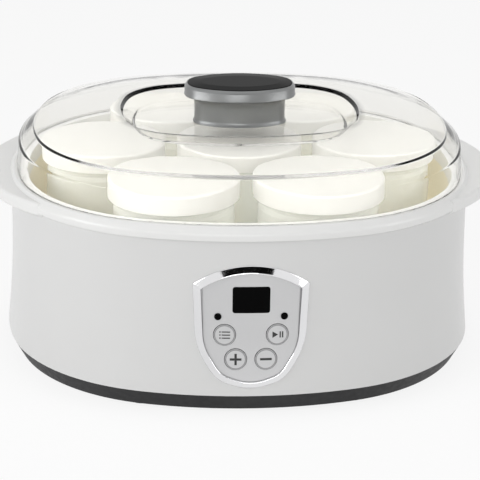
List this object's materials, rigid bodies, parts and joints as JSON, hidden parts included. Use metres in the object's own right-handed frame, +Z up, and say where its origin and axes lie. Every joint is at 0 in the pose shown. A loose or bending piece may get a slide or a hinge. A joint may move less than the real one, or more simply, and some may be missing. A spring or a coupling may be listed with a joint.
{
  "type": "yogurt maker",
  "caption": "Oval electric yogurt maker: white casing with side ears, clear domed lid with a knob, capped glass jars inside and a shield-shaped control panel.",
  "frame": {"origin": "middle of the footprint, on the surface that the feet stand on", "axes": "+Z up, +X to the right seen from the front, the control panel faces -Y"},
  "size_m": [0.294, 0.2514, 0.1522],
  "materials": {
    "white_plastic": "moulded, satin gloss",
    "rim_plastic": "moulded, glossy",
    "base_plastic": "moulded, fine texture",
    "rubber": "moulded",
    "clear_plastic": "clear injection-moulded plastic, faint warm tint",
    "knob_grey": "silver-grey, satin",
    "gloss_black": "polished black",
    "chrome": "plated bezel",
    "panel_silver": "silver paint",
    "button_silver": "silver paint",
    "screw_steel": "zinc plated",
    "board_green": "solder mask",
    "component_black": "moulded",
    "component_yellow": "taped winding",
    "terminal_green": "moulded",
    "aluminium": "rolled sheet",
    "foil": "heater film",
    "jar_glass": "pressed glass",
    "cap_plastic": "moulded, creamy white"
  },
  "bodies": {
    "base": {"housing_shell": "white_plastic", "chamber_liner": "rim_plastic", "base_plate": "base_plastic", "foot_front_left": "rubber", "foot_front_right": "rubber", "foot_rear_left": "rubber", "foot_rear_right": "rubber", "cord_inlet_bush": "base_plastic", "panel_bezel": "chrome", "panel_plate": "panel_silver", "display_window": "gloss_black", "lamp_left": "gloss_black", "lamp_right": "gloss_black", "heater_plate": "aluminium", "heating_element": "foil", "temperature_sensor": "screw_steel", "sensor_clip": "screw_steel", "thermal_fuse": "aluminium", "power_board": "board_green", "transformer": "component_yellow", "relay": "component_black", "capacitor": "component_black", "terminal_block": "terminal_green", "buzzer": "component_black", "control_board": "board_green", "button_switches": "component_black", "display_module": "component_black", "board_screws": "screw_steel", "base_screws": "screw_steel"},
    "cover": {"lid": "clear_plastic", "knob_body": "knob_grey", "knob_insert": "gloss_black", "knob_washer": "screw_steel", "knob_screw": "screw_steel"},
    "button_function_body": {"button_function": "button_silver"},
    "button_start_body": {"button_start": "button_silver"},
    "button_plus_body": {"button_plus": "button_silver"},
    "button_minus_body": {"button_minus": "button_silver"},
    "jar_1_body": {"jar_1": "jar_glass"},
    "jar_2_body": {"jar_2": "jar_glass"},
    "jar_3_body": {"jar_3": "jar_glass"},
    "jar_4_body": {"jar_4": "jar_glass"},
    "jar_5_body": {"jar_5": "jar_glass"},
    "jar_6_body": {"jar_6": "jar_glass"},
    "jar_7_body": {"jar_7": "jar_glass"},
    "jar_lid_1_body": {"jar_lid_1": "cap_plastic"},
    "jar_lid_2_body": {"jar_lid_2": "cap_plastic"},
    "jar_lid_3_body": {"jar_lid_3": "cap_plastic"},
    "jar_lid_4_body": {"jar_lid_4": "cap_plastic"},
    "jar_lid_5_body": {"jar_lid_5": "cap_plastic"},
    "jar_lid_6_body": {"jar_lid_6": "cap_plastic"},
    "jar_lid_7_body": {"jar_lid_7": "cap_plastic"}
  },
  "joints": [
    {"name": "lid_lift", "type": "slide", "parent": "base", "child": "cover", "axis": [0, 0, 1], "range_m": [0, 0.22]},
    {"name": "jar_1_lift", "type": "slide", "parent": "base", "child": "jar_1_body", "axis": [0, 0, 1], "range_m": [0, 0.088]},
    {"name": "jar_lid_1_twist", "type": "hinge", "parent": "jar_1_body", "child": "jar_lid_1_body", "pos_m": [0, 0, 0.112], "axis": [0, 0, 1], "range_deg": [0, 90]},
    {"name": "jar_2_lift", "type": "slide", "parent": "base", "child": "jar_2_body", "axis": [0, 0, 1], "range_m": [0, 0.088]},
    {"name": "jar_lid_2_twist", "type": "hinge", "parent": "jar_2_body", "child": "jar_lid_2_body", "pos_m": [0.0786, 0, 0.112], "axis": [0, 0, 1], "range_deg": [0, 90]},
    {"name": "jar_3_lift", "type": "slide", "parent": "base", "child": "jar_3_body", "axis": [0, 0, 1], "range_m": [0, 0.088]},
    {"name": "jar_lid_3_twist", "type": "hinge", "parent": "jar_3_body", "child": "jar_lid_3_body", "pos_m": [0.0393, 0.06807, 0.112], "axis": [0, 0, 1], "range_deg": [0, 90]},
    {"name": "jar_4_lift", "type": "slide", "parent": "base", "child": "jar_4_body", "axis": [0, 0, 1], "range_m": [0, 0.088]},
    {"name": "jar_lid_4_twist", "type": "hinge", "parent": "jar_4_body", "child": "jar_lid_4_body", "pos_m": [-0.0393, 0.06807, 0.112], "axis": [0, 0, 1], "range_deg": [0, 90]},
    {"name": "jar_5_lift", "type": "slide", "parent": "base", "child": "jar_5_body", "axis": [0, 0, 1], "range_m": [0, 0.088]},
    {"name": "jar_lid_5_twist", "type": "hinge", "parent": "jar_5_body", "child": "jar_lid_5_body", "pos_m": [-0.0786, 0, 0.112], "axis": [0, 0, 1], "range_deg": [0, 90]},
    {"name": "jar_6_lift", "type": "slide", "parent": "base", "child": "jar_6_body", "axis": [0, 0, 1], "range_m": [0, 0.088]},
    {"name": "jar_lid_6_twist", "type": "hinge", "parent": "jar_6_body", "child": "jar_lid_6_body", "pos_m": [-0.0393, -0.06807, 0.112], "axis": [0, 0, 1], "range_deg": [0, 90]},
    {"name": "jar_7_lift", "type": "slide", "parent": "base", "child": "jar_7_body", "axis": [0, 0, 1], "range_m": [0, 0.088]},
    {"name": "jar_lid_7_twist", "type": "hinge", "parent": "jar_7_body", "child": "jar_lid_7_body", "pos_m": [0.0393, -0.06807, 0.112], "axis": [0, 0, 1], "range_deg": [0, 90]},
    {"name": "button_function_press", "type": "slide", "parent": "base", "child": "button_function_body", "axis": [0, 1, 0], "range_m": [0, 0.0006], "stiffness_N_per_m": 400},
    {"name": "button_start_press", "type": "slide", "parent": "base", "child": "button_start_body", "axis": [0, 1, 0], "range_m": [0, 0.0006], "stiffness_N_per_m": 400},
    {"name": "button_plus_press", "type": "slide", "parent": "base", "child": "button_plus_body", "axis": [0, 1, 0], "range_m": [0, 0.0006], "stiffness_N_per_m": 400},
    {"name": "button_minus_press", "type": "slide", "parent": "base", "child": "button_minus_body", "axis": [0, 1, 0], "range_m": [0, 0.0006], "stiffness_N_per_m": 400}
  ],
  "couplings": [
    {"joint": "jar_1_lift", "follows": "lid_lift", "ratio": 0.4},
    {"joint": "jar_2_lift", "follows": "lid_lift", "ratio": 0.4},
    {"joint": "jar_3_lift", "follows": "lid_lift", "ratio": 0.4},
    {"joint": "jar_4_lift", "follows": "lid_lift", "ratio": 0.4},
    {"joint": "jar_5_lift", "follows": "lid_lift", "ratio": 0.4},
    {"joint": "jar_6_lift", "follows": "lid_lift", "ratio": 0.4},
    {"joint": "jar_7_lift", "follows": "lid_lift", "ratio": 0.4}
  ]
}
